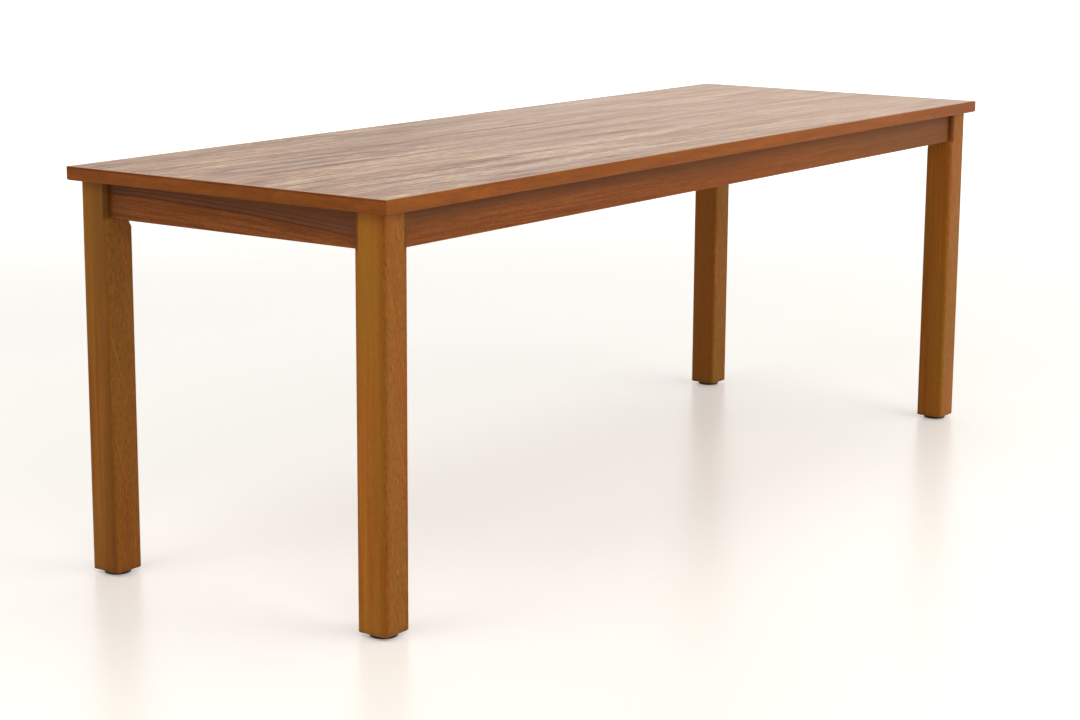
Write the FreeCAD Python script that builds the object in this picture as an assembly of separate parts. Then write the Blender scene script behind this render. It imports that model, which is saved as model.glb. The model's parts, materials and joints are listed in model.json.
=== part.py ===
"""Long low wooden bench: a lipped and veneered top on an apron frame with four bolt-on legs.

Millimetres. X runs along the bench, Y across it and Z up. The origin is on the floor, under the
middle of the top. Front is -Y, back is +Y, left is -X and right is +X.
"""
import FreeCAD, Part
import math
import os

# Whole bench
bench_length = 1240.0
bench_width = 420.0
seat_height = 430.0

# Top panel
top_thickness = 14.5
veneer_thickness = 0.7
lipping_width = 6.0
lipping_upper_radius = 1.2    # outer arrises of the lippings
lipping_lower_radius = 3.0
top_corner_radius = 1.5       # the top's four corners, in plan
end_overhang = 9.0            # top beyond the legs, at each end
side_overhang = 11.0          # top beyond the legs, at each long side

# Legs
leg_side = 36.5
leg_edge_radius = 4.0
foot_chamfer = 0.8
bracket_flat_leg = 8.0        # how far the flat for the bolt takes the inner corner off each side
flat_runout_radius = 30.0
flat_runout_start = 4.0       # above the lower edge of the aprons

# Aprons
apron_height = 37.0
apron_thickness = 18.0
apron_setback = 6.0           # behind the outer faces of the legs
apron_arris_radius = 1.0

# Corner brackets, bent from steel strip
bracket_sheet = 2.5
bracket_draw_gap = 5.0        # left between the leg's flat and the bracket
bracket_wing_length = 34.0
bracket_hook_depth = 6.0
bracket_bend_radius = 1.0     # inside of each bend
bracket_edge_margin = 2.5     # bracket to the apron's upper and lower edge

# Hanger bolts, washers and nuts
bolt_diameter = 8.0
bolt_depth_in_leg = 26.0
bolt_beyond_nut = 4.0
bolt_end_chamfer = 1.0
washer_diameter = 18.0
washer_thickness = 1.6
nut_across_flats = 13.0
nut_height = 6.5

# Battens that hold the top down
batten_width = 15.0
batten_height = 18.0
batten_arris_radius = 1.5
batten_end_gap = 14.0         # to the hooks of the corner brackets
screw_end_distance = 40.0     # first and last screw from the ends of a batten
long_batten_screws = 4
short_batten_screws = 2

# Wood screws
screw_diameter = 4.0
screw_head_diameter = 8.0
screw_slot_width = 1.0
screw_slot_depth = 1.0
screw_point_length = 5.0
screw_cover = 4.0             # wood left beyond the point of a screw
screw_edge_distance = 7.0     # bracket screws from the bracket's edges
round_head_height = 2.6

# Glides under the feet, each with a smaller screw
glide_diameter = 28.0
glide_thickness = 4.5
glide_rim_radius = 1.2
glide_head_recess = 0.6       # screw head above the resting face
glide_screw_diameter = 3.0
glide_screw_head_diameter = 6.0
glide_screw_depth = 16.0

# Fits
hole_clearance = 0.15         # on the radius, round screws and bolts
bolt_hole_clearance = 0.5     # on the radius, in the bracket and the washer

# Levels and faces that follow from the sizes above
top_underside = seat_height - top_thickness
apron_bottom = top_underside - apron_height
apron_middle = top_underside - apron_height / 2
leg_outer_x = bench_length / 2 - end_overhang
leg_outer_y = bench_width / 2 - side_overhang
leg_inner_x = leg_outer_x - leg_side
leg_inner_y = leg_outer_y - leg_side
apron_outer_x = leg_outer_x - apron_setback
apron_outer_y = leg_outer_y - apron_setback
apron_inner_x = apron_outer_x - apron_thickness
apron_inner_y = apron_outer_y - apron_thickness

# Plan of one corner: the leg's outer corner is (0, 0), and both axes run inwards along the aprons.
# A line across the corner is where the two coordinates add up to the value given here.
root_two = math.sqrt(2.0)
apron_inner_offset = apron_setback + apron_thickness
flat_sum = 2 * leg_side - bracket_flat_leg
plate_sum = flat_sum + bracket_draw_gap * root_two
wing_start = plate_sum - apron_inner_offset
hook_end = wing_start + bracket_wing_length
batten_start = hook_end + batten_end_gap

# Turn about Z that brings the plan of a corner to its place
corner_turns = {"front_left": 0, "front_right": 90, "back_right": 180, "back_left": 270}
corner_signs = {"front_left": (-1, -1), "front_right": (1, -1), "back_right": (1, 1), "back_left": (-1, 1)}

# Turn about Z that brings a strip made at the front to its side
side_turns = {"front": 0, "right": 90, "back": 180, "left": 270}
long_sides = ("front", "back")

origin = FreeCAD.Vector(0, 0, 0)
x_axis = FreeCAD.Vector(1, 0, 0)
y_axis = FreeCAD.Vector(0, 1, 0)
z_axis = FreeCAD.Vector(0, 0, 1)


def block(low, high):
    size = [b - a for a, b in zip(low, high)]
    return Part.makeBox(*size, FreeCAD.Vector(*low))


def prism(outline, low_z, high_z):
    points = [FreeCAD.Vector(x, y, low_z) for x, y in outline]
    face = Part.Face(Part.makePolygon(points + points[:1]))
    return face.extrude(FreeCAD.Vector(0, 0, high_z - low_z))


def turned(outline):
    """Solid of revolution about Z from (radius, height) points."""
    points = [FreeCAD.Vector(radius, 0, height) for radius, height in outline]
    face = Part.Face(Part.makePolygon(points + points[:1]))
    return face.revolve(origin, z_axis, 360)


def edges_along_z(shape, places):
    """Upright edges of a shape that stand at the given places in plan."""
    found = []
    for edge in shape.Edges:
        first, last = edge.Vertexes[0].Point, edge.Vertexes[-1].Point
        upright = math.hypot(first.x - last.x, first.y - last.y) < 1e-6
        if upright and any(math.hypot(first.x - x, first.y - y) < 1e-4 for x, y in places):
            found.append(edge)
    return found


def edges_at(shape, axis, values):
    """Edges of a shape that lie wholly at one of the values on an axis (X, Y or Z)."""
    found = []
    for edge in shape.Edges:
        low, high = getattr(edge.BoundBox, axis + "Min"), getattr(edge.BoundBox, axis + "Max")
        if any(abs(low - value) < 1e-4 and abs(high - value) < 1e-4 for value in values):
            found.append(edge)
    return found


def pointed(shape, direction, place):
    """Move a shape made along +Z so that it points along a direction from a place."""
    moved = shape.copy()
    moved.Placement = FreeCAD.Placement(place, FreeCAD.Rotation(z_axis, direction))
    return moved


def at_corner(shape, corner):
    """Bring a shape made in the plan of a corner to that corner of the bench."""
    moved = shape.copy()
    moved.rotate(origin, z_axis, corner_turns[corner])
    sign_x, sign_y = corner_signs[corner]
    moved.translate(FreeCAD.Vector(sign_x * leg_outer_x, sign_y * leg_outer_y, 0))
    return moved


def at_all_corners(shapes):
    return [at_corner(shape, corner) for corner in corner_turns for shape in shapes]


def to_side(shape, side):
    """Bring a shape made at the front of the bench to one of its sides."""
    moved = shape.copy()
    moved.rotate(origin, z_axis, side_turns[side])
    return moved


def along(side, in_x, in_y):
    """The value that runs along a side."""
    return in_x if side in long_sides else in_y


def outwards(side, in_x, in_y):
    """The value that points out of a side."""
    return in_y if side in long_sides else in_x


# Screws, made with the head's top at the origin and the point along +Z


def flat_head_screw(length, diameter, head_diameter):
    head, shank = head_diameter / 2, diameter / 2
    point_start = length - screw_point_length
    body = turned([(0, 0), (head, 0), (shank, head - shank), (shank, point_start), (0, length)])
    return body.cut(screw_slot(0.0))


def flat_head_hole(length, diameter, head_diameter):
    head, shank = head_diameter / 2 + hole_clearance, diameter / 2 + hole_clearance
    mouth = -head_diameter
    deep = length + hole_clearance
    return turned([(0, mouth), (head, mouth), (head, 0), (shank, head - shank), (shank, deep), (0, deep)])


def round_head_screw(length):
    """Screw with a domed head, whose flat underside is at the origin."""
    head, shank = screw_head_diameter / 2, screw_diameter / 2
    ball_radius = (head ** 2 + round_head_height ** 2) / (2 * round_head_height)
    ball = Part.makeSphere(ball_radius, FreeCAD.Vector(0, 0, ball_radius - round_head_height))
    dome = ball.common(Part.makeCylinder(head, round_head_height, FreeCAD.Vector(0, 0, -round_head_height)))
    body = turned([(0, 0), (shank, 0), (shank, length - screw_point_length), (0, length)])
    return dome.fuse(body).removeSplitter().cut(screw_slot(-round_head_height))


def round_head_hole(length):
    radius = screw_diameter / 2 + hole_clearance
    return Part.makeCylinder(radius, length + hole_clearance)


def screw_slot(head_top):
    half_width, reach = screw_slot_width / 2, screw_head_diameter
    low = (-reach, -half_width, head_top - screw_slot_depth)
    return block(low, (reach, half_width, head_top + screw_slot_depth))


# Top panel


def rounded_top():
    """Outline of the whole top, with its corners rounded in plan."""
    x, y = bench_length / 2, bench_width / 2
    panel = block((-x, -y, top_underside), (x, y, seat_height))
    corners = [(sign_x * x, sign_y * y) for sign_x, sign_y in corner_signs.values()]
    return panel.makeFillet(top_corner_radius, edges_along_z(panel, corners))


def lipping(side):
    """One solid edge strip, mitred at both ends, with rounded outer arrises."""
    half = along(side, bench_length, bench_width) / 2
    inner_half = half - lipping_width
    outer_y = -outwards(side, bench_length, bench_width) / 2
    inner_y = outer_y + lipping_width
    outline = [(-half, outer_y), (half, outer_y), (inner_half, inner_y), (-inner_half, inner_y)]
    strip = block((-half, outer_y, top_underside), (half, inner_y, seat_height))
    for level, radius in ((seat_height, lipping_upper_radius), (top_underside, lipping_lower_radius)):
        outer_edges = [edge for edge in edges_at(strip, "Z", [level])
                       if edge.BoundBox.YMax < inner_y - lipping_width / 2]
        strip = strip.makeFillet(radius, outer_edges)
    strip = strip.common(prism(outline, top_underside, seat_height))
    return to_side(strip, side).common(rounded_top())


def lippings():
    return {"lipping_" + side: lipping(side) for side in side_turns}


def panel_layer(low_z, high_z):
    x, y = bench_length / 2 - lipping_width, bench_width / 2 - lipping_width
    return block((-x, -y, low_z), (x, y, high_z))


def panel_layers(holes):
    core_bottom = top_underside + veneer_thickness
    core_top = seat_height - veneer_thickness
    return {
        "top_veneer": panel_layer(core_top, seat_height),
        "top_core": panel_layer(core_bottom, core_top).cut(holes),
        "backing_veneer": panel_layer(top_underside, core_bottom).cut(holes),
    }


# Legs


def leg_flat_tool():
    """What the bracket flat takes off the leg's inner corner, with its curved run-out.

    It is drawn in the upright plane through the leg's outer and inner corners.
    """
    flat, corner = flat_sum / root_two, leg_side * root_two
    flat_end = apron_bottom + flat_runout_start
    full_turn = math.acos(1 - (corner - flat) / flat_runout_radius)

    def point(across, height):
        return FreeCAD.Vector(across, -leg_side, height)

    def on_runout(turn):
        drop = flat_runout_radius * math.sin(turn)
        return point(flat + flat_runout_radius * (1 - math.cos(turn)), flat_end - drop)

    outline = [on_runout(full_turn), point(corner, seat_height), point(flat, seat_height), on_runout(0)]
    edges = [Part.makeLine(first, last) for first, last in zip(outline, outline[1:])]
    edges.append(Part.Arc(on_runout(0), on_runout(full_turn / 2), on_runout(full_turn)).toShape())
    tool = Part.Face(Part.Wire(edges)).extrude(y_axis * (2 * leg_side))
    tool.rotate(origin, z_axis, 45)
    return tool


def leg_blank():
    body = block((0, 0, glide_thickness), (leg_side, leg_side, top_underside))
    corners = [(x, y) for x in (0, leg_side) for y in (0, leg_side)]
    body = body.makeFillet(leg_edge_radius, edges_along_z(body, corners))
    body = body.makeChamfer(foot_chamfer, edges_at(body, "Z", [glide_thickness]))
    return body.cut(leg_flat_tool())


def legs():
    blank = leg_blank().cut([hanger_bolt_hole(), glide_fixing(flat_head_hole)])
    return {"leg_" + corner: at_corner(blank, corner) for corner in corner_turns}


# Aprons


def apron(side, holes):
    """One rail between two legs."""
    half_length = along(side, leg_inner_x, leg_inner_y)
    outer_y = -outwards(side, apron_outer_x, apron_outer_y)
    low = (-half_length, outer_y, apron_bottom)
    rail = block(low, (half_length, outer_y + apron_thickness, top_underside))
    lower_edges = [edge for edge in edges_at(rail, "Z", [apron_bottom])
                   if edge.BoundBox.XLength > half_length]
    rail = rail.makeFillet(apron_arris_radius, lower_edges)
    return to_side(rail, side).cut(holes)


def aprons(holes):
    return {"apron_" + side: apron(side, holes) for side in side_turns}


# Corner brackets and their bolts, in the plan of a corner

bracket_low = apron_bottom + bracket_edge_margin
bracket_high = top_underside - bracket_edge_margin
corner_inwards = FreeCAD.Vector(1, 1, 0).normalize()


def across_plan(point):
    return (point[1], point[0])


def bracket():
    """Bent strip: a plate across the corner, a wing along each apron and a hook at each end."""
    face, inside = apron_inner_offset, apron_inner_offset + bracket_sheet
    bend_outside = (wing_start, face)
    bend_inside = (plate_sum + bracket_sheet * root_two - inside, inside)
    hook_inside = (hook_end - bracket_sheet, face)
    hook_outside = (hook_end, inside)
    tip = [(hook_end - bracket_sheet, face - bracket_hook_depth), (hook_end, face - bracket_hook_depth)]
    half = [bend_outside, hook_inside, *tip, hook_outside, bend_inside]
    outline = half + [across_plan(point) for point in reversed(half)]
    strip = prism(outline, bracket_low, bracket_high)
    outer_radius = bracket_bend_radius + bracket_sheet
    bends = [
        (bend_inside, bracket_bend_radius), (hook_inside, bracket_bend_radius),
        (bend_outside, outer_radius), (hook_outside, outer_radius),
    ]
    for place, radius in bends:
        strip = strip.makeFillet(radius, edges_along_z(strip, [place, across_plan(place)]))
    bolt_hole = Part.makeCylinder(bolt_diameter / 2 + bolt_hole_clearance, 2 * leg_side)
    middle = FreeCAD.Vector(flat_sum / 2, flat_sum / 2, apron_middle)
    return strip.cut([pointed(bolt_hole, corner_inwards, middle)] + bracket_screw_holes())


def hook_kerfs():
    """Saw cuts in the two aprons of a corner, for the bracket's hooks."""
    low = hook_end - bracket_sheet - bracket_bend_radius
    deep = apron_inner_offset - bracket_hook_depth - bracket_bend_radius
    high = hook_end + bracket_bend_radius
    first_cut = block((low, deep, apron_bottom), (high, apron_inner_offset, top_underside))
    second_cut = first_cut.copy()
    second_cut.rotate(origin, corner_inwards, 180)
    second_cut.translate(FreeCAD.Vector(0, 0, apron_bottom + top_underside))
    return [first_cut, second_cut]


def bracket_screw_places():
    """Head underside and direction of each bracket screw of one corner."""
    middle = (wing_start + hook_end) / 2
    face = apron_inner_offset + bracket_sheet
    places = []
    for height in (bracket_low + screw_edge_distance, bracket_high - screw_edge_distance):
        places.append((FreeCAD.Vector(middle, face, height), y_axis * -1))
        places.append((FreeCAD.Vector(face, middle, height), x_axis * -1))
    return places


bracket_screw_length = bracket_sheet + apron_thickness - screw_cover


def bracket_screws():
    screw = round_head_screw(bracket_screw_length)
    return [pointed(screw, direction, place) for place, direction in bracket_screw_places()]


def bracket_screw_holes():
    hole = round_head_hole(bracket_screw_length)
    return [pointed(hole, direction, place) for place, direction in bracket_screw_places()]


bolt_stick_out = bracket_draw_gap + bracket_sheet + washer_thickness + nut_height + bolt_beyond_nut


def along_bolt(shape, distance):
    """Put a shape made along +Z on the bolt's line, this far from the leg's flat."""
    offset = flat_sum / 2 + distance / root_two
    return pointed(shape, corner_inwards, FreeCAD.Vector(offset, offset, apron_middle))


def hanger_bolt():
    radius, chamfer = bolt_diameter / 2, bolt_end_chamfer
    length = bolt_depth_in_leg + bolt_stick_out
    outline = [(0, 0), (radius / 2, 0), (radius, bolt_diameter), (radius, length - chamfer)]
    body = turned(outline + [(radius - chamfer, length), (0, length)])
    return along_bolt(body, -bolt_depth_in_leg)


def hanger_bolt_hole():
    depth = bolt_depth_in_leg + hole_clearance
    return along_bolt(Part.makeCylinder(bolt_diameter / 2 + hole_clearance, 2 * depth), -depth)


def washer():
    ring = Part.makeCylinder(washer_diameter / 2, washer_thickness)
    ring = ring.cut(Part.makeCylinder(bolt_diameter / 2 + bolt_hole_clearance, washer_thickness))
    return along_bolt(ring, bracket_draw_gap + bracket_sheet)


def nut():
    """Hexagon nut with both faces turned to a chamfer."""
    corner_radius = nut_across_flats / math.sqrt(3.0)
    inner_radius = nut_across_flats / 2
    chamfer = (corner_radius - inner_radius) / 2
    turns = [math.radians(60 * step) for step in range(6)]
    outline = [(corner_radius * math.cos(turn), corner_radius * math.sin(turn)) for turn in turns]
    hexagon = prism(outline, 0, nut_height)
    cone = turned([(0, 0), (inner_radius, 0), (corner_radius, chamfer), (corner_radius, nut_height - chamfer),
                   (inner_radius, nut_height), (0, nut_height)])
    hexagon = hexagon.common(cone)
    hexagon = hexagon.cut(Part.makeCylinder(bolt_diameter / 2 + hole_clearance, nut_height))
    return along_bolt(hexagon, bracket_draw_gap + bracket_sheet + washer_thickness)


# Battens inside the aprons

batten_bottom = top_underside - batten_height
batten_half_x = leg_outer_x - batten_start
batten_half_y = leg_outer_y - batten_start
batten_up_screw_length = batten_height + top_thickness - screw_cover
batten_side_screw_length = batten_width + apron_thickness - screw_cover


def spread(half_length, count):
    """Places of the upward screws along a batten."""
    first = -half_length + screw_end_distance
    return [first + 2 * abs(first) * step / (count - 1) for step in range(count)]


def batten_fixings(side, up_shape, side_shape):
    """Upward shapes through a batten into the top, and sideways ones between them into the apron."""
    half_length = along(side, batten_half_x, batten_half_y)
    face_y = -outwards(side, apron_inner_x, apron_inner_y)
    up_places = spread(half_length, along(side, long_batten_screws, short_batten_screws))
    placed = []
    for x in up_places:
        place = FreeCAD.Vector(x, face_y + batten_width / 2, batten_bottom)
        placed.append(pointed(up_shape, z_axis, place))
    for first, last in zip(up_places, up_places[1:]):
        place = FreeCAD.Vector((first + last) / 2, face_y + batten_width, batten_bottom + batten_height / 2)
        placed.append(pointed(side_shape, y_axis * -1, place))
    return [to_side(shape, side) for shape in placed]


def all_batten_fixings(make_shape):
    """The screws of all battens, or their holes, as make_shape gives them for a length and two diameters."""
    lengths = (batten_up_screw_length, batten_side_screw_length)
    up_shape, side_shape = [make_shape(length, screw_diameter, screw_head_diameter) for length in lengths]
    return [shape for side in side_turns for shape in batten_fixings(side, up_shape, side_shape)]


def batten(side, holes):
    half_length = along(side, batten_half_x, batten_half_y)
    face_y = -outwards(side, apron_inner_x, apron_inner_y)
    free_y = face_y + batten_width
    bar = block((-half_length, face_y, batten_bottom), (half_length, free_y, top_underside))
    free_edges = [edge for edge in edges_at(bar, "Z", [batten_bottom])
                  if abs(edge.CenterOfMass.y - free_y) < 1e-4]
    bar = bar.makeFillet(batten_arris_radius, free_edges)
    return to_side(bar, side).cut(holes)


def battens(holes):
    return {"batten_" + side: batten(side, holes) for side in side_turns}


# Glides

leg_middle = FreeCAD.Vector(leg_side / 2, leg_side / 2, 0)
glide_screw_length = glide_thickness - glide_head_recess + glide_screw_depth


def glide():
    """Turned disc with a rounded rim and a sunk hole for its screw."""
    radius, rim = glide_diameter / 2, glide_rim_radius
    disc = Part.makeCylinder(radius, glide_thickness, leg_middle)
    disc = disc.makeFillet(rim, edges_at(disc, "Z", [0.0]))
    return disc.cut(glide_fixing(flat_head_hole))


def glide_fixing(make_shape):
    """The screw of a glide, or its hole, as make_shape gives it for a length and two diameters."""
    shape = make_shape(glide_screw_length, glide_screw_diameter, glide_screw_head_diameter)
    return pointed(shape, z_axis, leg_middle + FreeCAD.Vector(0, 0, glide_head_recess))


# Whole bench


def build():
    fixing_holes = all_batten_fixings(flat_head_hole)
    corner_holes = at_all_corners(hook_kerfs() + bracket_screw_holes())
    nodes = {}
    nodes.update(panel_layers(fixing_holes))
    nodes.update(lippings())
    nodes.update(aprons(fixing_holes + corner_holes))
    nodes.update(legs())
    nodes.update(battens(fixing_holes))
    for corner in corner_turns:
        nodes["bracket_" + corner] = at_corner(bracket(), corner)
        nodes["glide_" + corner] = at_corner(glide(), corner)
    groups = {
        "hanger_bolts": at_all_corners([hanger_bolt()]),
        "washers": at_all_corners([washer()]),
        "nuts": at_all_corners([nut()]),
        "bracket_screws": at_all_corners(bracket_screws()),
        "batten_screws": all_batten_fixings(flat_head_screw),
        "glide_screws": at_all_corners([glide_fixing(flat_head_screw)]),
    }
    nodes.update({name: Part.makeCompound(solids) for name, solids in groups.items()})
    return nodes


os.makedirs("parts", exist_ok=True)
for name, shape in build().items():
    shape.exportStep("parts/" + name + ".step")
    print(name, len(shape.Solids), "solids", round(shape.Volume), "mm3")
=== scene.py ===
"""Looks of the long low wooden bench: the finish of each piece, a pale floor, soft light and the camera.

Metres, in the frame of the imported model: X along the bench, Y across it, Z up, floor at zero.
"""
import json
import math
from collections import namedtuple

import bpy
from mathutils import Matrix, Vector

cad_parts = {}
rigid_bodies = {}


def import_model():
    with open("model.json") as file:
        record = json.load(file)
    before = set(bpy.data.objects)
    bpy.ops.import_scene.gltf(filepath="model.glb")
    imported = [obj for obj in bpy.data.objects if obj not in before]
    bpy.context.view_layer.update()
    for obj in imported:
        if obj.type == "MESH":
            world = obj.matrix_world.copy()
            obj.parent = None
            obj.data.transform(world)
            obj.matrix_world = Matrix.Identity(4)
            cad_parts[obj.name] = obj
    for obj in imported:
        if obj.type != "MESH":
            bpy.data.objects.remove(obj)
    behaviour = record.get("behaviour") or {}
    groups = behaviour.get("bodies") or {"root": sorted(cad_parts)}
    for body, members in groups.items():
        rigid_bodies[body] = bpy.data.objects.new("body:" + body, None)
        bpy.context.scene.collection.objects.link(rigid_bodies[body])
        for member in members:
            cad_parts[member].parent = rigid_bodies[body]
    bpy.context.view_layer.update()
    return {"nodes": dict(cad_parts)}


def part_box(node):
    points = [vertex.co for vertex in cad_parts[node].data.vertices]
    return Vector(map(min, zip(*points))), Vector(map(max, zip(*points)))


for leftover in list(bpy.data.objects):
    bpy.data.objects.remove(leftover)

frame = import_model()

MM = 0.001
CORNERS = ("front_left", "front_right", "back_right", "back_left")
SIDES = ("front", "right", "back", "left")
LONG_SIDES = ("front", "back")
WHITE = (1.0, 1.0, 1.0, 1.0)


def colour(red, green, blue):
    """Linear colour of an 8-bit sRGB one."""
    def linear(value):
        share = value / 255
        return share / 12.92 if share <= 0.04045 else ((share + 0.055) / 1.055) ** 2.4
    return (linear(red), linear(green), linear(blue), 1.0)


def put(material, *names):
    """Give CAD nodes a material."""
    for name in names:
        frame["nodes"][name].material_slots[0].material = material


# Nodes of a material

# Sockets of a colour mix: its share, its two colours and its result
MIX_SHARE, MIX_FIRST, MIX_SECOND, MIX_RESULT = 0, 6, 7, 2


class Finish:
    """One material. Its calls add nodes and return their outputs, so that calls can be nested."""

    def __init__(self, name):
        self.material = bpy.data.materials.new(name)
        self.material.use_nodes = True
        self.tree = self.material.node_tree
        self.shader = self.tree.nodes["Principled BSDF"]
        coordinates = self.tree.nodes.new("ShaderNodeTexCoord").outputs
        self.place, self.facing = coordinates["Object"], coordinates["Normal"]

    def join(self, value, socket):
        """Link an output to a socket, or set the socket to a plain value."""
        if isinstance(value, bpy.types.NodeSocket):
            self.tree.links.new(value, socket)
        else:
            socket.default_value = value

    def node(self, kind, inputs, **settings):
        """A new node of a kind, with its settings and inputs."""
        made = self.tree.nodes.new("ShaderNode" + kind)
        for key, value in settings.items():
            setattr(made, key, value)
        for key, value in inputs.items():
            self.join(value, made.inputs[key])
        return made

    def math(self, operation, *values):
        return self.node("Math", dict(enumerate(values)), operation=operation).outputs[0]

    def add(self, first, second):
        return self.math("ADD", first, second)

    def subtract(self, first, second):
        return self.math("SUBTRACT", first, second)

    def times(self, first, second):
        return self.math("MULTIPLY", first, second)

    def vector(self, operation, *values):
        made = self.node("VectorMath", dict(enumerate(values)), operation=operation)
        return made.outputs["Value" if operation == "LENGTH" else "Vector"]

    def parts(self, vector):
        """X, Y and Z of a vector."""
        return self.node("SeparateXYZ", {0: vector}).outputs

    def join_parts(self, x, y, z):
        return self.node("CombineXYZ", {0: x, 1: y, 2: z}).outputs[0]

    def noise(self, vector, detail, roughness=0.5):
        inputs = {"Vector": vector, "Scale": 1.0, "Detail": detail, "Roughness": roughness}
        return self.node("TexNoise", inputs).outputs["Fac"]

    def place_noise(self, scale, detail):
        """Noise with its own number of waves per metre along X, Y and Z."""
        return self.noise(self.vector("MULTIPLY", self.place, scale), detail)

    def cells(self, per_metre):
        """Outputs of a pattern of cells."""
        return self.node("TexVoronoi", {"Vector": self.place, "Scale": per_metre}).outputs

    def step(self, value, low, high, to_low=0.0, to_high=1.0):
        """Smooth step of a value from to_low to to_high between two limits."""
        inputs = {"Value": value, "From Min": low, "From Max": high, "To Min": to_low, "To Max": to_high}
        return self.node("MapRange", inputs, interpolation_type="SMOOTHSTEP").outputs["Result"]

    def contour(self, value, level, width):
        """One on the lines where a value crosses a level, falling to zero at a width to both sides."""
        off = self.math("ABSOLUTE", self.subtract(value, level))
        return self.step(off, 0.0, width, 1.0, 0.0)

    def mix(self, share, first, second, blend="MIX"):
        inputs = {MIX_SHARE: share, MIX_FIRST: first, MIX_SECOND: second}
        return self.node("Mix", inputs, data_type="RGBA", blend_type=blend).outputs[MIX_RESULT]

    def tint(self, base, factors, share=1.0):
        """A colour multiplied by factors, in full or by a share."""
        return self.mix(share, base, factors, "MULTIPLY")

    def ramp(self, value, *stops):
        """Colour that runs through stops, each a position and a colour."""
        made = self.node("ValToRGB", {"Fac": value})
        elements = made.color_ramp.elements
        while len(elements) < len(stops):
            elements.new(1.0)
        for element, (position, stop) in zip(elements, stops):
            element.position = position
            element.color = stop
        return made.outputs["Color"]

    def specks(self, per_metre, size, share):
        """A few small round marks, strewn over the piece."""
        cells = self.cells(per_metre)
        spot = self.step(cells["Distance"], size * per_metre, 0.4 * size * per_metre)
        chosen = self.math("LESS_THAN", self.parts(cells["Color"])[0], share)
        return self.times(spot, chosen)

    def face_gaps(self, low, high):
        """Distance to the nearer face of a box along each axis."""
        middle, half = (low + high) / 2, (high - low) / 2
        off = self.vector("ABSOLUTE", self.vector("SUBTRACT", self.place, middle))
        return self.parts(self.vector("SUBTRACT", half, off))

    def bump(self, height, depth, strength):
        inputs = {"Height": height, "Distance": depth, "Strength": strength}
        self.join(self.node("Bump", inputs).outputs["Normal"], self.shader.inputs["Normal"])

    def surface(self, **inputs):
        """Fill in inputs of the shader, named with underscores for spaces, and return the material."""
        for key, value in inputs.items():
            self.join(value, self.shader.inputs[key.replace("_", " ")])
        return self.material


WANDER_SCALE = (1.7, 8.0, 8.0)
NOISE_MIDDLE = (0.5, 0.5, 0.5)


class Wood(Finish):
    """A wood as a solid texture: the grain runs along one axis, in rings round a pith beside the piece.

    The grain wanders sideways by up to about half of reach. Lean is its slope across the piece, and with
    bend it curves down away from bend_start. Scales are waves per metre along and across the grain.
    """

    def __init__(self, name, axis, seed, pith, reach, bend=0.0, bend_start=0.0, lean=0.0):
        super().__init__(name)
        self.seed = seed
        x, y, z = self.parts(self.place)
        along, side, height = {"X": (x, y, z), "Y": (y, x, z), "Z": (z, x, y)}[axis]
        if lean:
            side = self.add(side, self.times(along, lean))
        if bend:
            past = self.subtract(along, bend_start)
            height = self.add(height, self.times(self.times(past, past), bend))
        straight = self.join_parts(along, side, height)
        shifted = self.vector("MULTIPLY_ADD", straight, WANDER_SCALE, (seed, 2 * seed, 0.0))
        noise = self.node("TexNoise", {"Vector": shifted, "Scale": 1.0, "Detail": 1.0}).outputs["Color"]
        wander = self.vector("SUBTRACT", noise, NOISE_MIDDLE)
        self.along = along
        self.grain = self.vector("MULTIPLY_ADD", wander, (0.0, reach, reach), straight)
        sideways = self.vector("MULTIPLY_ADD", self.grain, (0.0, 1.0, 1.0), (0.0, -pith[0], -pith[1]))
        self.ring = self.vector("LENGTH", sideways)

    def streaks(self, along, across, shift, detail, roughness=0.6):
        """Noise that runs along the grain and changes across the growth rings."""
        waves_along = self.times(self.along, along)
        waves_across = self.times(self.ring, across)
        return self.noise(self.join_parts(waves_along, waves_across, self.seed + shift), detail, roughness)

    def patches(self, along, across, shift):
        """Soft noise, drawn out along the grain."""
        scale, offset = (along, across, across), (self.seed, shift, shift)
        return self.noise(self.vector("MULTIPLY_ADD", self.grain, scale, offset), 2.0)

    def dashes(self, along, across, low, high):
        """Short thin marks along the grain, where noise is above a limit: pores or flecks."""
        scale = (along, across, across)
        return self.step(self.noise(self.vector("MULTIPLY", self.grain, scale), 1.0), low, high)


# Teak: top veneer, lippings and aprons

Tones = namedtuple("Tones", "dark middle light patch line pore")
BROAD_WEIGHT, SHORT_WEIGHT, FIBRE_WEIGHT = 0.25, 0.4, 0.35
DARK_BELOW, LIGHT_ABOVE = 0.08, 0.07
VEINS_PER_METRE, VEIN_SWAY, VEIN_WIDTH = 28.0, 2.0, 0.07
PORE_SHARE = 0.4


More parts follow.
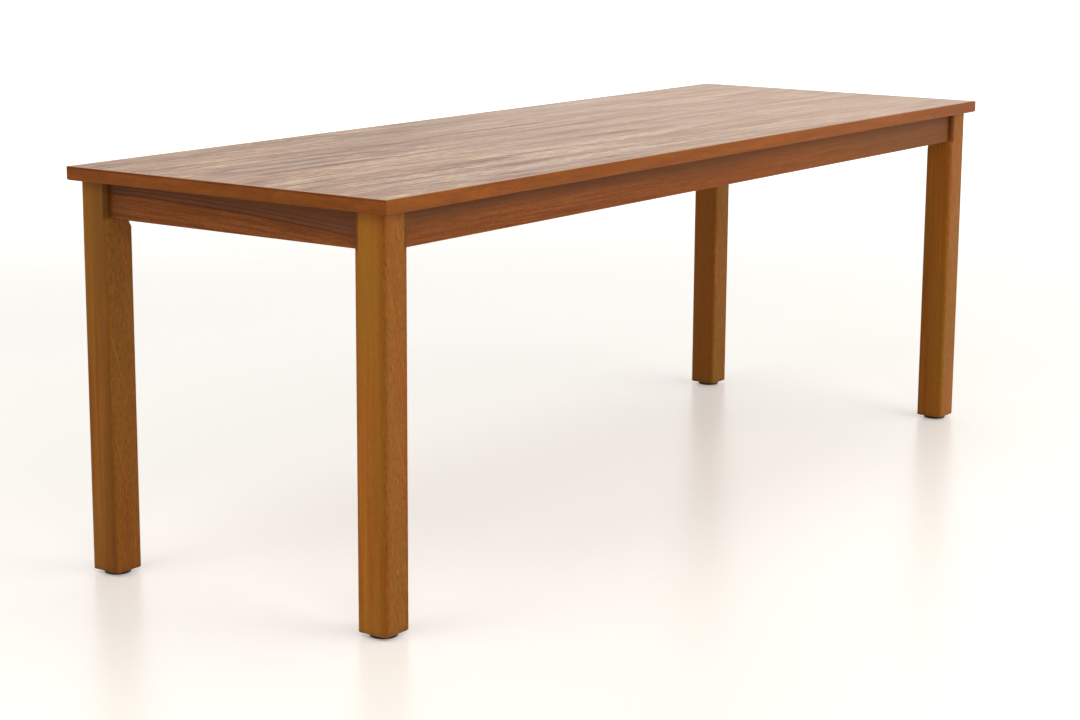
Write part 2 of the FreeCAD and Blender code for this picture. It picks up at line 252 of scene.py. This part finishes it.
class Teak(Wood):
    """Teak with uneven growth bands, dark strokes along the grain, thin growth lines and open pores.

    Strokes is how much the dark marks show, fine makes the figure finer across the grain, and patchy is
    how much the patches show. Stretch draws the marks out along the grain, and a smaller spread gives the
    bands more contrast.
    """

    def __init__(self, name, axis, seed, pith, tones, strokes, fine=1.0, patchy=0.55, reach=9 * MM,
                 stretch=1.0, spread=1.0, **sweep):
        super().__init__(name, axis, seed, pith, reach, **sweep)
        longer = math.sqrt(stretch)
        broad = self.streaks(along=2.5, across=60.0 * fine, shift=1.7, detail=2.0)
        short = self.streaks(along=11.0 / longer, across=130.0 * fine, shift=6.4, detail=3.0, roughness=0.65)
        fibres = self.streaks(along=28.0 / longer, across=240.0 * fine * longer, shift=3.9, detail=3.0,
                              roughness=0.7)
        self.bands = self.times(broad, BROAD_WEIGHT)
        for layer, weight in ((short, SHORT_WEIGHT), (fibres, FIBRE_WEIGHT)):
            self.bands = self.add(self.bands, self.times(layer, weight))
        marks = self.streaks(along=13.0 / longer, across=190.0 * fine, shift=7.3, detail=3.0, roughness=0.7)
        clusters = self.step(self.patches(along=4.0, across=20.0 * fine, shift=4.1), 0.42, 0.6)
        marks = self.times(self.step(marks, 0.54, 0.64), clusters)
        sway = self.streaks(along=1.2, across=14.0 * fine, shift=5.2, detail=1.0)
        turns = self.add(self.times(self.ring, VEINS_PER_METRE * fine), self.times(sway, VEIN_SWAY))
        veins = self.contour(self.math("FRACT", turns), 0.5, VEIN_WIDTH)
        veins = self.times(veins, self.step(self.patches(along=3.0, across=14.0 * fine, shift=8.8), 0.5, 0.6))
        self.marks = self.math("MAXIMUM", marks, veins)
        self.pores = self.dashes(along=120.0, across=2400.0, low=0.56, high=0.7)
        pitted = self.dashes(along=110.0 / stretch, across=260.0 * fine * stretch, low=0.5, high=0.66)
        grit = self.dashes(along=240.0 / stretch, across=120.0 * fine * stretch, low=0.48, high=0.6)
        base = self.ramp(self.bands, (0.5 - DARK_BELOW * spread, tones.dark), (0.5, tones.middle),
                         (0.5 + LIGHT_ABOVE * spread, tones.light))
        patched = self.step(self.patches(along=2.4, across=11.0, shift=9.7), 0.45, 0.7, 0.0, patchy)
        base = self.mix(patched, base, tones.patch)
        base = self.mix(self.times(self.marks, strokes), base, tones.line)
        for flecks, share in ((pitted, 0.5 * strokes), (grit, 0.45 * strokes), (self.pores, PORE_SHARE)):
            base = self.mix(self.times(flecks, share), base, tones.pore)
        self.base = base
        self.height = self.subtract(self.times(self.bands, 0.5), self.pores)


TOP_PIECES = ["top_veneer"] + ["lipping_" + side for side in SIDES]
TOP_TONES = Tones(dark=colour(122, 70, 28), middle=colour(210, 151, 94), light=colour(245, 203, 154),
                  patch=colour(198, 154, 102), line=colour(82, 44, 17), pore=colour(108, 64, 30))
TOP_TAN = colour(202, 152, 92)
TOP_ROSE = colour(196, 142, 116)
# Pale colour of a painted sheen, mixed in towards the right end of the top
TOP_PAINTED_SHEEN = colour(216, 176, 145)
TOP_SPECK = colour(58, 36, 24)

LIPPING_TONES = Tones(dark=colour(132, 71, 23), middle=colour(141, 77, 24), light=colour(151, 84, 26),
                      patch=colour(144, 76, 23), line=colour(108, 54, 19), pore=colour(112, 57, 20))
LIPPING_DENT = colour(214, 168, 118)
# Paler colour of the lippings' upward faces: a painted sheen
LIPPING_TOP_PAINTED_SHEEN = colour(190, 140, 92)
LIPPING_PALER = (1.12, 1.1, 1.0, 1.0)
# Bluer tint of the end lippings: a painted sheen, standing in for white reflection on the end faces
LIPPING_END_PAINTED_SHEEN = (1.0, 1.02, 1.3, 1.0)
LIPPING_ARRIS_DARKER = (0.7, 0.58, 0.52, 1.0)

APRON_TONES = Tones(dark=colour(117, 63, 27), middle=colour(133, 73, 32), light=colour(147, 85, 39),
                    patch=colour(136, 71, 29), line=colour(85, 48, 25), pore=colour(93, 50, 24))
APRON_LONG_GREY = colour(98, 63, 37)
APRON_END_GREY = colour(107, 71, 47)
APRON_LINE = colour(62, 34, 20)
APRON_RIGHT = (0.77, 0.94, 1.35, 1.0)
# Bluer tint of the end aprons: a painted sheen, standing in for white reflection on the end faces
APRON_END_PAINTED_SHEEN = (1.02, 1.05, 1.22, 1.0)
# Painted shade on the end aprons beside the back leg
APRON_END_PAINTED_SHADE = (0.78, 0.82, 0.95, 1.0)
APRON_END_BEND = 0.138
EndLine = namedtuple("EndLine", "depth width share")
APRON_END_LINES = (EndLine(2.5 * MM, 0.9 * MM, 0.45), EndLine(6.0 * MM, 0.9 * MM, 0.5),
                   EndLine(10.7 * MM, 1.1 * MM, 0.75))


def finish_top():
    """Straight grain that leans a little across the top, bold at the left end and calmer to the right, where
    fewer flecks show and a pale painted sheen is mixed in.
    """
    wood = Teak("teak_top", "X", 3.1, (0.9, -0.6), TOP_TONES, 0.95, stretch=4.0, spread=0.6, lean=0.045)
    tan = wood.step(wood.patches(along=4.0, across=45.0, shift=2.2), 0.45, 0.65, 0.0, 0.4)
    rose = wood.step(wood.patches(along=4.5, across=40.0, shift=6.6), 0.45, 0.65, 0.0, 0.3)
    dark_bands = wood.step(wood.streaks(along=3.0, across=50.0, shift=2.6, detail=2.0), 0.5, 0.62, 0.0, 0.5)
    flecked = wood.step(wood.along, -0.5, 0.4, 0.5, 0.2)
    flecks = wood.times(wood.dashes(along=45.0, across=380.0, low=0.48, high=0.58), flecked)
    fine_lines = wood.times(wood.dashes(along=90.0, across=800.0, low=0.52, high=0.6), 0.3)
    painted_sheen_share = wood.step(wood.along, -0.45, 0.55, 0.0, 0.5)
    base = wood.mix(tan, wood.base, TOP_TAN)
    base = wood.mix(rose, base, TOP_ROSE)
    base = wood.mix(dark_bands, base, TOP_TONES.dark)
    base = wood.mix(flecks, base, TOP_TONES.pore)
    base = wood.mix(fine_lines, base, TOP_TONES.line)
    # Painted sheen: the top is painted paler towards its right end
    base = wood.mix(painted_sheen_share, base, TOP_PAINTED_SHEEN)
    base = wood.mix(wood.specks(per_metre=5.0, size=2.0 * MM, share=0.3), base, TOP_SPECK)
    wood.bump(wood.height, depth=0.15 * MM, strength=0.4)
    polish = wood.step(wood.bands, 0.35, 0.65, 0.41, 0.31)
    rough = wood.add(polish, wood.times(wood.marks, 0.15))
    put(wood.surface(Base_Color=base, Roughness=rough), "top_veneer")


def finish_lippings():
    """Plain solid teak with a few pale dents, and its upward faces painted paler as a painted sheen.

    The long lippings are paler to the right, and the end lippings carry a bluish painted sheen and are darker
    along the upper arris.
    """
    seat = max(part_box(name)[1].z for name in TOP_PIECES)
    for index, side in enumerate(SIDES):
        axis = "X" if side in LONG_SIDES else "Y"
        wood = Teak("teak_lipping_" + side, axis, 11.0 + 6.3 * index, (0.09, 0.33), LIPPING_TONES,
                    strokes=0.25, fine=3.0, patchy=0.3)
        if side in LONG_SIDES:
            base = wood.tint(wood.base, LIPPING_PALER, wood.step(wood.along, -0.5, 0.1))
        else:
            upper = wood.step(wood.parts(wood.place)[2], seat - 3 * MM, seat - 1.2 * MM)
            uneven = wood.step(wood.patches(along=9.0, across=9.0, shift=3.3), 0.3, 0.6, 0.5, 1.0)
            # Painted sheen: the end lippings are tinted bluer all over
            base = wood.tint(wood.base, LIPPING_END_PAINTED_SHEEN)
            # Darker along the upper arris of the end lippings
            base = wood.tint(base, LIPPING_ARRIS_DARKER, wood.times(upper, uneven))
        base = wood.mix(wood.specks(per_metre=22.0, size=0.9 * MM, share=0.6), base, LIPPING_DENT)
        # Painted sheen: the upward faces of the lippings are painted paler, like the sheen on the top
        painted_sheen_up = wood.step(wood.parts(wood.facing)[2], 0.85, 0.98)
        base = wood.mix(wood.times(painted_sheen_up, 0.8), base, LIPPING_TOP_PAINTED_SHEEN)
        wood.bump(wood.height, depth=0.1 * MM, strength=0.35)
        rough = wood.step(wood.bands, 0.25, 0.75, 0.32, 0.22)
        put(wood.surface(Base_Color=base, Roughness=rough, Specular_IOR_Level=0.05), "lipping_" + side)


def long_apron_colour(wood, depth):
    """A soft grey zone along the top with a ragged edge, lighter towards the right and a greyer right end."""
    ragged = wood.step(wood.patches(along=5.0, across=60.0, shift=6.1), 0.3, 0.7, -5 * MM, 5 * MM)
    zone = wood.step(wood.add(depth, ragged), 28 * MM, 6 * MM, 0.0, 0.7)
    base = wood.mix(zone, wood.base, APRON_LONG_GREY)
    base = wood.mix(wood.step(wood.along, -0.3, 0.5, 0.0, 0.5), base, APRON_TONES.light)
    return wood.tint(base, APRON_RIGHT, wood.step(wood.along, 0.1, 0.6))


def end_apron_colour(wood, depth):
    """A dull zone above dark lines that sink to the front, a bluish painted sheen all over, and painted shade
    beside the back leg.
    """
    zone = wood.step(depth, 14 * MM, 7 * MM, 0.0, 0.65)
    # Painted sheen: the end apron is tinted bluer all over
    base = wood.tint(wood.mix(zone, wood.base, APRON_END_GREY), APRON_END_PAINTED_SHEEN)
    # Painted shade: the end apron is darker where it meets the back leg
    base = wood.tint(base, APRON_END_PAINTED_SHADE, wood.step(wood.along, 0.11, 0.165))
    fading = wood.step(wood.patches(along=6.0, across=30.0, shift=2.7), 0.3, 0.6, 0.35, 1.0)
    for line in APRON_END_LINES:
        shown = wood.times(wood.contour(depth, line.depth, line.width), line.share)
        base = wood.mix(wood.times(shown, fading), base, APRON_LINE)
    return base


def finish_aprons():
    """Fine-grained teak, duller towards the top. The grain of the end aprons curves down to the front."""
    for index, side in enumerate(SIDES):
        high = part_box("apron_" + side)[1]
        long_side = side in LONG_SIDES
        axis, bend, start = ("X", 0.0, 0.0) if long_side else ("Y", APRON_END_BEND, high.y)
        wood = Teak("teak_apron_" + side, axis, 31.0 + 4.3 * index, (0.0, 1.4), APRON_TONES,
                    strokes=0.36, fine=2.8, patchy=0.4, reach=6 * MM, bend=bend, bend_start=start)
        depth = wood.subtract(high.z, wood.parts(wood.grain)[2])
        base = long_apron_colour(wood, depth) if long_side else end_apron_colour(wood, depth)
        wood.bump(wood.height, depth=0.12 * MM, strength=0.35)
        rough = wood.step(wood.bands, 0.3, 0.7, 0.52, 0.42)
        put(wood.surface(Base_Color=base, Roughness=rough, Specular_IOR_Level=0.05), "apron_" + side)


finish_top()
finish_lippings()
finish_aprons()


# Stained beech: legs

# Tints of a leg, the first three painted light and shade for how light falls on each face: its left and right
# faces at the front and at the back, its front and back faces, its edges
LegPaintedLightAndEdges = namedtuple("LegPaintedLightAndEdges", "end_front end_back side edge")
LEG_PAINTED_LIGHT_AND_EDGES = {
    "front_left": LegPaintedLightAndEdges((1.12, 1.14, 1.24, 1), (1.22, 1.24, 1.4, 1), (0.92, 0.87, 0.89, 1),
                           (0.88, 0.78, 0.6, 1)),
    "front_right": LegPaintedLightAndEdges((0.95, 0.94, 0.88, 1), (0.83, 0.83, 0.9, 1), (0.94, 0.94, 1.03, 1), WHITE),
    "back_right": LegPaintedLightAndEdges((0.8, 0.69, 0.78, 1), (0.8, 0.69, 0.78, 1), (0.91, 0.98, 0.85, 1), WHITE),
    "back_left": LegPaintedLightAndEdges((0.64, 0.6, 0.67, 1), (0.97, 0.99, 1.09, 1), (0.81, 0.79, 0.83, 1), WHITE),
}
LEG_DARK = colour(126, 68, 14)
LEG_MIDDLE = colour(156, 92, 24)
LEG_LIGHT = colour(182, 116, 42)
LEG_OLIVE = colour(148, 98, 26)
# Painted shade on the leg's edges beside the aprons
LEG_PAINTED_SHADE_BY_APRONS = (0.5, 0.44, 0.44, 1.0)
LEG_FOOT_DARKER = (0.7, 0.62, 0.52, 1.0)
LEG_ROUND = 4 * MM
LEG_LINE_GAP = 29 * MM
LEG_LINE_SLOPE = 0.28


def beside_aprons(wood, low, high):
    """One on the two edges of a leg that stand proud of the aprons, where painted shade darkens the leg."""
    x, y, z = wood.parts(wood.place)
    inner_x, outer_x = sorted((low.x, high.x), key=abs)
    inner_y, outer_y = sorted((low.y, high.y), key=abs)
    distances = []
    for edge_x, edge_y in ((inner_x, outer_y), (outer_x, inner_y)):
        off_x = wood.math("ABSOLUTE", wood.subtract(x, edge_x))
        off_y = wood.math("ABSOLUTE", wood.subtract(y, edge_y))
        distances.append(wood.add(off_x, off_y))
    near_edge = wood.step(wood.math("MINIMUM", *distances), 7 * MM, 4 * MM)
    apron_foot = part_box("apron_front")[0].z
    return wood.times(near_edge, wood.step(z, apron_foot - 3 * MM, apron_foot + 3 * MM))


def slanted_lines(wood):
    """Broken pale lines that cross a leg at a slant."""
    up, across, _ = wood.parts(wood.grain)
    slanted = wood.add(across, wood.times(up, LEG_LINE_SLOPE))
    lines = wood.contour(wood.math("FRACT", wood.math("DIVIDE", slanted, LEG_LINE_GAP)), 0.5, 0.035)
    return wood.times(lines, wood.step(wood.patches(along=9.0, across=30.0, shift=7.7), 0.48, 0.6))


def finish_legs():
    """Golden brown stain with olive patches, with painted light and shade that tones each leg and face a
    little differently.

    It is darker at the foot, and painted shade darkens it beside the aprons. The fine flecks of the wood's
    rays and the pale lines show most on the front and back faces.
    """
    for index, corner in enumerate(CORNERS):
        low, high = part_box("leg_" + corner)
        pith = ((low.x + high.x) / 2 + 0.02, low.y + 0.16)
        wood = Wood("beech_leg_" + corner, "Z", 61.0 + 3.9 * index, pith, 6 * MM)
        bands = wood.streaks(along=4.0, across=160.0, shift=0.0, detail=3.0)
        flecks = wood.dashes(along=170.0, across=800.0, low=0.5, high=0.64)
        rays = wood.dashes(along=80.0, across=700.0, low=0.58, high=0.7)
        sideways = wood.math("ABSOLUTE", wood.parts(wood.facing)[1])
        flecked = wood.step(sideways, 0.0, 1.0, 0.2, 0.6)
        olive = wood.step(wood.patches(along=5.0, across=45.0, shift=5.5), 0.4, 0.62, 0.0, 0.8)
        lines = wood.times(slanted_lines(wood), wood.step(sideways, 0.5, 1.0, 0.0, 0.6))
        base = wood.ramp(bands, (0.1, LEG_DARK), (0.5, LEG_MIDDLE), (0.9, LEG_LIGHT))
        base = wood.mix(olive, base, LEG_OLIVE)
        base = wood.mix(wood.times(flecks, flecked), base, LEG_DARK)
        base = wood.mix(wood.times(rays, flecked), base, LEG_LIGHT)
        base = wood.mix(lines, base, LEG_LIGHT)
        _, across, above_floor = wood.parts(wood.place)
        leg_light_and_edges = LEG_PAINTED_LIGHT_AND_EDGES[corner]
        # Painted light and shade: each face is tinted lighter or darker, and the left and right faces change
        # from front to back
        painted_end_light = wood.mix(wood.step(across, low.y, high.y), leg_light_and_edges.end_front, leg_light_and_edges.end_back)
        base = wood.tint(base, wood.mix(wood.step(sideways, 0.1, 0.9), painted_end_light, leg_light_and_edges.side))
        gap_x, gap_y, _ = wood.face_gaps(low, high)
        edge = wood.step(wood.add(gap_x, gap_y), 2.4 * LEG_ROUND, 0.5 * LEG_ROUND)
        base = wood.tint(base, leg_light_and_edges.edge, edge)
        # Painted shade on the edges that stand beside the aprons
        base = wood.tint(base, LEG_PAINTED_SHADE_BY_APRONS, beside_aprons(wood, low, high))
        # Darker towards the foot
        base = wood.tint(base, LEG_FOOT_DARKER, wood.step(above_floor, 11 * MM, 5 * MM, 0.0, 0.5))
        wood.bump(wood.subtract(wood.times(bands, 0.4), flecks), depth=0.06 * MM, strength=0.3)
        rough = wood.step(bands, 0.25, 0.75, 0.5, 0.4)
        put(wood.surface(Base_Color=base, Roughness=rough, Specular_IOR_Level=0.1), "leg_" + corner)


finish_legs()


# Plain woods that hide under the top

BACKING_DARK = colour(142, 98, 70)
BACKING_MIDDLE = colour(168, 120, 88)
BACKING_LIGHT = colour(186, 140, 106)
BACKING_PORE = colour(104, 66, 46)
CHIP_DARK = colour(138, 104, 68)
CHIP_MIDDLE = colour(184, 148, 104)
CHIP_LIGHT = colour(212, 180, 134)
PINE_EARLY = colour(214, 176, 120)
PINE_MIDDLE = colour(196, 148, 90)
PINE_LATE = colour(150, 96, 52)
PINE_NEXT = colour(206, 166, 110)
PINE_PATCH = colour(176, 134, 86)
PINE_FUZZ = colour(120, 84, 50)
PINE_RING = 4.5 * MM


def finish_backing():
    """Plain matt veneer of a pale reddish hardwood, with long open pores."""
    wood = Wood("backing_veneer", "X", 81.0, (0.2, -0.3), 10 * MM)
    bands = wood.streaks(along=2.5, across=120.0, shift=0.0, detail=4.0)
    pores = wood.dashes(along=50.0, across=1500.0, low=0.56, high=0.7)
    base = wood.ramp(bands, (0.3, BACKING_DARK), (0.5, BACKING_MIDDLE), (0.7, BACKING_LIGHT))
    base = wood.mix(wood.times(pores, 0.4), base, BACKING_PORE)
    wood.bump(wood.subtract(wood.times(bands, 0.4), pores), depth=0.1 * MM, strength=0.4)
    rough = wood.step(bands, 0.25, 0.75, 0.72, 0.6)
    put(wood.surface(Base_Color=base, Roughness=rough, Specular_IOR_Level=0.3), "backing_veneer")


def finish_core():
    """Chipboard: pressed chips of many tones."""
    finish = Finish("chipboard")
    tone = finish.parts(finish.cells(per_metre=420.0)["Color"])[0]
    fine = finish.place_noise((900.0, 900.0, 900.0), detail=3.0)
    share = finish.add(finish.times(tone, 0.7), finish.times(fine, 0.3))
    base = finish.ramp(share, (0.15, CHIP_DARK), (0.5, CHIP_MIDDLE), (0.85, CHIP_LIGHT))
    finish.bump(share, depth=0.3 * MM, strength=0.5)
    rough = finish.step(fine, 0.3, 0.7, 0.9, 0.78)
    put(finish.surface(Base_Color=base, Roughness=rough, Specular_IOR_Level=0.2), "top_core")


def finish_battens():
    """Sawn softwood: wide growth rings with a dark late side, and the marks of the saw."""
    for index, side in enumerate(SIDES):
        low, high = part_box("batten_" + side)
        middle = (low + high) / 2
        axis, across = ("X", middle.y) if side in LONG_SIDES else ("Y", middle.x)
        pith = (across + 0.03, low.z - 0.05)
        wood = Wood("pine_batten_" + side, axis, 91.0 + 6.1 * index, pith, 4 * MM)
        turn = wood.math("FRACT", wood.math("DIVIDE", wood.ring, PINE_RING))
        patched = wood.step(wood.patches(along=4.0, across=20.0, shift=1.9), 0.4, 0.7, 0.0, 0.5)
        fuzz = wood.dashes(along=140.0, across=1100.0, low=0.4, high=0.75)
        saw = wood.noise(wood.vector("MULTIPLY", wood.grain, (520.0, 30.0, 30.0)), 1.0)
        base = wood.ramp(turn, (0.0, PINE_EARLY), (0.72, PINE_MIDDLE), (0.93, PINE_LATE), (1.0, PINE_NEXT))
        base = wood.mix(patched, base, PINE_PATCH)
        base = wood.mix(wood.times(fuzz, 0.18), base, PINE_FUZZ)
        wood.bump(wood.add(saw, wood.times(fuzz, 0.6)), depth=0.25 * MM, strength=0.5)
        rough = wood.step(fuzz, 0.0, 1.0, 0.74, 0.86)
        put(wood.surface(Base_Color=base, Roughness=rough, Specular_IOR_Level=0.2), "batten_" + side)


finish_backing()
finish_core()
finish_battens()


# Metal and plastic

ZINC_YELLOWED = colour(196, 182, 140)
GLIDE_DARK = colour(46, 35, 23)
GLIDE_DUSTY = colour(74, 57, 38)
GLIDE_SCUFFED = colour(116, 100, 82)


def finish_zinc(name, dull, bright, nodes):
    """Dull zinc plate: cloudy grey, fine scratches, a little yellowed."""
    finish = Finish(name)
    clouds = finish.place_noise((55.0, 55.0, 55.0), detail=4.0)
    scratches = finish.place_noise((1600.0, 90.0, 300.0), detail=2.0)
    base = finish.ramp(clouds, (0.3, dull), (0.7, bright))
    base = finish.mix(finish.step(clouds, 0.55, 0.75, 0.0, 0.35), base, ZINC_YELLOWED)
    base = finish.mix(0.06, base, finish.cells(per_metre=900.0)["Color"], "OVERLAY")
    finish.bump(scratches, depth=0.05 * MM, strength=0.25)
    rough = finish.add(finish.step(clouds, 0.3, 0.7, 0.46, 0.3), finish.times(scratches, 0.12))
    put(finish.surface(Base_Color=base, Roughness=rough, Metallic=1.0), *nodes)


def finish_glides():
    """Dark brown plastic, dulled and scratched grey where it slides."""
    finish = Finish("glide_plastic")
    scratches = finish.place_noise((1400.0, 160.0, 160.0), detail=3.0)
    dust = finish.place_noise((260.0, 260.0, 260.0), detail=3.0)
    slid = finish.step(finish.parts(finish.place)[2], 1.2 * MM, 0.0)
    scuffed = finish.times(finish.step(scratches, 0.45, 0.65), finish.add(slid, 0.25))
    base = finish.ramp(dust, (0.35, GLIDE_DARK), (0.7, GLIDE_DUSTY))
    base = finish.mix(finish.times(scuffed, 0.6), base, GLIDE_SCUFFED)
    finish.bump(scratches, depth=0.06 * MM, strength=0.3)
    rough = finish.step(scuffed, 0.0, 1.0, 0.42, 0.68)
    put(finish.surface(Base_Color=base, Roughness=rough, Specular_IOR_Level=0.2),
        *["glide_" + corner for corner in CORNERS])


finish_zinc("zinc_brackets", colour(150, 149, 144), colour(186, 184, 176),
            ["bracket_" + corner for corner in CORNERS])
finish_zinc("zinc_fasteners", colour(158, 156, 148), colour(198, 194, 182),
            ["hanger_bolts", "washers", "nuts", "bracket_screws", "batten_screws", "glide_screws"])
finish_glides()


# Floor, light and camera

FLOOR_HALF = 40.0
FLOOR_COLOUR = (0.94, 0.89, 0.8, 1.0)
NEAR_GLOW, FAR_GLOW = 0.25, 0.8
NEAR_REACH, FAR_REACH = 1.2, 4.0
WORLD_LIGHT = 0.33
AIM = (0.0, 0.0, 0.25)
Lamp = namedtuple("Lamp", "name place width height power")
LAMPS = (
    Lamp("left_back", (-2.6, 1.4, 1.8), 2.0, 2.0, 8.0),
    Lamp("left", (-2.2, 0.2, 2.6), 1.5, 1.5, 12.5),
    Lamp("camera_side", (-1.8, -1.5, 2.2), 1.5, 1.5, 14.0),
    Lamp("overhead", (0.8, 0.2, 2.8), 2.0, 2.0, 11.0),
    Lamp("front", (0.0, -2.6, 2.2), 2.0, 2.0, 18.0),
    Lamp("front_right", (1.2, -2.8, 1.2), 4.0, 2.0, 34.0),
)
CAMERA_PLACE = (-2.31796, -1.59547, 0.72964)
CAMERA_YAW = math.radians(54.502)
CAMERA_PITCH = math.radians(11.581)
CAMERA_ROLL = math.radians(0.352)
CAMERA_LENS, SENSOR_WIDTH = 79.95, 36.0


def seen_directly(tree):
    """One for rays from the camera, from a mirroring surface or through a clear one, else zero."""
    path = tree.nodes.new("ShaderNodeLightPath")
    seen = path.outputs["Is Camera Ray"]
    for ray in ("Is Glossy Ray", "Is Transmission Ray"):
        either = tree.nodes.new("ShaderNodeMath")
        either.operation = "MAXIMUM"
        tree.links.new(seen, either.inputs[0])
        tree.links.new(path.outputs[ray], either.inputs[1])
        seen = either.outputs[0]
    return seen


def add_floor():
    """A wide pale floor that glows towards white, more so far from the bench."""
    corners = [(x * FLOOR_HALF, y * FLOOR_HALF, 0.0) for x, y in ((-1, -1), (1, -1), (1, 1), (-1, 1))]
    mesh = bpy.data.meshes.new("floor")
    mesh.from_pydata(corners, [], [(0, 1, 2, 3)])
    floor = bpy.data.objects.new("floor", mesh)
    bpy.context.scene.collection.objects.link(floor)
    finish = Finish("floor")
    glow = finish.step(finish.vector("LENGTH", finish.place), NEAR_REACH, FAR_REACH, NEAR_GLOW, FAR_GLOW)
    glow = finish.times(seen_directly(finish.tree), glow)
    mesh.materials.append(finish.surface(
        Base_Color=FLOOR_COLOUR, Roughness=0.3, Emission_Color=WHITE, Emission_Strength=glow))


def add_world():
    """White where it is seen, and weaker as light on the bench."""
    world = bpy.data.worlds.new("studio")
    bpy.context.scene.world = world
    world.use_nodes = True
    tree = world.node_tree
    background = tree.nodes["Background"]
    background.inputs["Color"].default_value = WHITE
    strength = tree.nodes.new("ShaderNodeMapRange")
    tree.links.new(seen_directly(tree), strength.inputs["Value"])
    strength.inputs["To Min"].default_value = WORLD_LIGHT
    strength.inputs["To Max"].default_value = 1.0
    tree.links.new(strength.outputs["Result"], background.inputs["Strength"])


def add_lamps():
    """Soft lamps that point at the middle of the bench."""
    for lamp in LAMPS:
        data = bpy.data.lights.new(lamp.name, "AREA")
        data.shape = "ELLIPSE"
        data.size, data.size_y = lamp.width, lamp.height
        data.energy = lamp.power
        light = bpy.data.objects.new(lamp.name, data)
        light.location = lamp.place
        light.rotation_euler = (Vector(AIM) - Vector(lamp.place)).to_track_quat("-Z", "Y").to_euler()
        bpy.context.scene.collection.objects.link(light)


def add_camera():
    """The photograph's viewpoint, found from the straight edges of the bench."""
    data = bpy.data.cameras.new("camera")
    data.sensor_width = SENSOR_WIDTH
    data.lens = CAMERA_LENS
    camera = bpy.data.objects.new("camera", data)
    turn = Matrix.Rotation(-CAMERA_YAW, 4, "Z") @ Matrix.Rotation(math.pi / 2 - CAMERA_PITCH, 4, "X")
    turn = turn @ Matrix.Rotation(CAMERA_ROLL, 4, "Z")
    camera.matrix_world = Matrix.Translation(CAMERA_PLACE) @ turn
    bpy.context.scene.collection.objects.link(camera)
    bpy.context.scene.camera = camera


add_floor()
add_world()
add_lamps()
add_camera()
bpy.context.scene.view_settings.view_transform = "Standard"
